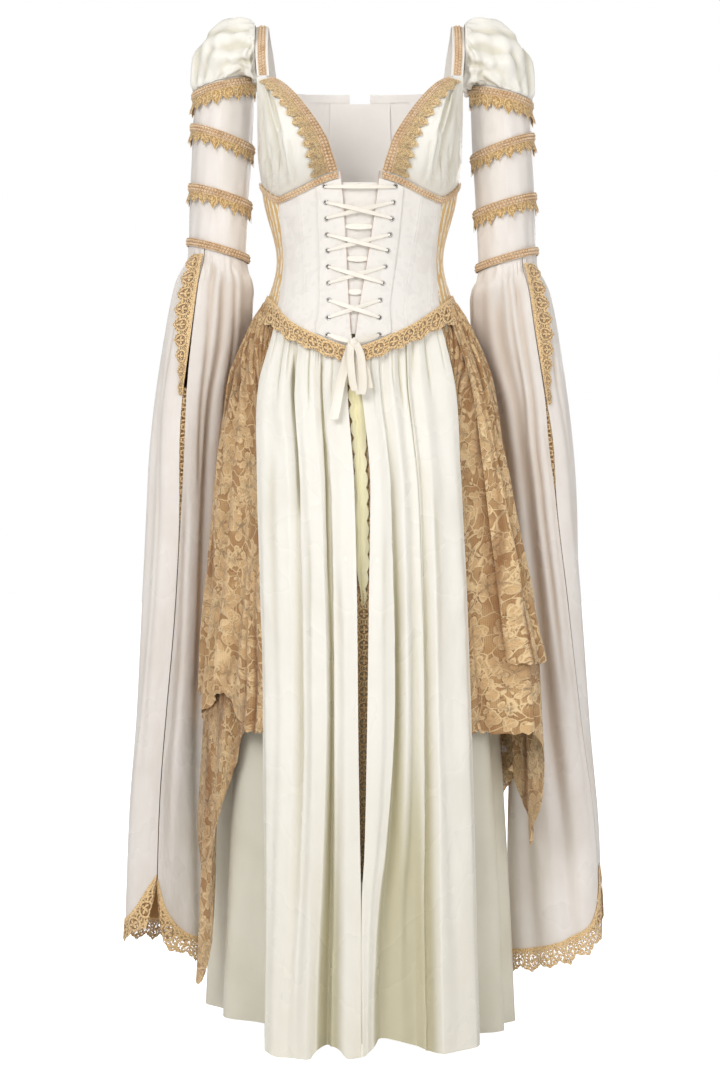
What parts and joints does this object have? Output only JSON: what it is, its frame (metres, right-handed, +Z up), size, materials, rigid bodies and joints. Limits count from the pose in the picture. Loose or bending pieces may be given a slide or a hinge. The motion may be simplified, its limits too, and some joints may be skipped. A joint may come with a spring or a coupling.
{
  "type": "corset dress",
  "caption": "Full-length ivory satin dress with a laced corset bodice, gathered cups, gold lace trim, puffed shoulders, long bell sleeves and a pleated skirt over gathered lace.",
  "frame": {"origin": "on the shoulder line, midway between the tops of the two straps, where the wearer holds the dress", "axes": "+Z up, the front faces -Y, +X towards the wearer's left sleeve"},
  "size_m": [0.6836, 0.4462, 1.4043],
  "materials": {
    "satin": "ivory satin",
    "sleeve_satin": "ivory satin, a little pinker",
    "corset_cloth": "matt jacquard",
    "underskirt_satin": "ivory satin",
    "lining_satin": "pale yellow satin",
    "floral_lace": "gold floral lace",
    "trim_lace": "gold crochet lace and braid",
    "striped_cloth": "gold and white striped brocade",
    "ribbon": "flat cream ribbon"
  },
  "bodies": {
    "root": {"corset_front_left": "corset_cloth", "corset_front_right": "corset_cloth", "eyelet_placket_left": "corset_cloth", "eyelet_placket_right": "corset_cloth", "corset_side_left": "striped_cloth", "corset_side_right": "striped_cloth", "corset_back_left": "corset_cloth", "corset_back_right": "corset_cloth", "front_modesty_panel": "corset_cloth", "back_modesty_panel": "corset_cloth", "cup_left": "satin", "cup_right": "satin", "neck_lace_left": "trim_lace", "neck_lace_right": "trim_lace", "underbust_braid_left": "trim_lace", "underbust_braid_right": "trim_lace", "strap_left": "corset_cloth", "strap_right": "corset_cloth", "strap_braid_left": "trim_lace", "strap_braid_right": "trim_lace", "puff_sleeve_left": "satin", "puff_sleeve_right": "satin", "upper_sleeve_left": "sleeve_satin", "upper_sleeve_right": "sleeve_satin", "top_lace_band_left": "trim_lace", "top_lace_band_right": "trim_lace", "middle_lace_band_left": "trim_lace", "middle_lace_band_right": "trim_lace", "low_lace_band_left": "trim_lace", "low_lace_band_right": "trim_lace", "elbow_braid_left": "trim_lace", "elbow_braid_right": "trim_lace", "bell_sleeve_left": "sleeve_satin", "bell_sleeve_right": "sleeve_satin", "bell_hem_lace_left": "trim_lace", "bell_hem_lace_right": "trim_lace", "bell_front_lace_left": "trim_lace", "bell_front_lace_right": "trim_lace", "underskirt_front": "underskirt_satin", "underskirt_back": "underskirt_satin", "front_panel_left": "satin", "front_panel_right": "satin", "lace_overskirt_left": "floral_lace", "lace_overskirt_right": "floral_lace", "waist_lace_left": "trim_lace", "waist_lace_right": "trim_lace", "inner_satin_strip": "lining_satin", "inner_lace_strip": "trim_lace", "lacing_cross_1": "ribbon", "lacing_cross_2": "ribbon", "lacing_cross_3": "ribbon", "lacing_cross_4": "ribbon", "lacing_top_bar": "ribbon", "lacing_bar_1": "ribbon", "lacing_bar_2": "ribbon", "lacing_bar_3": "ribbon", "back_lacing": "ribbon", "lacing_bow": "ribbon"}
  },
  "joints": []
}
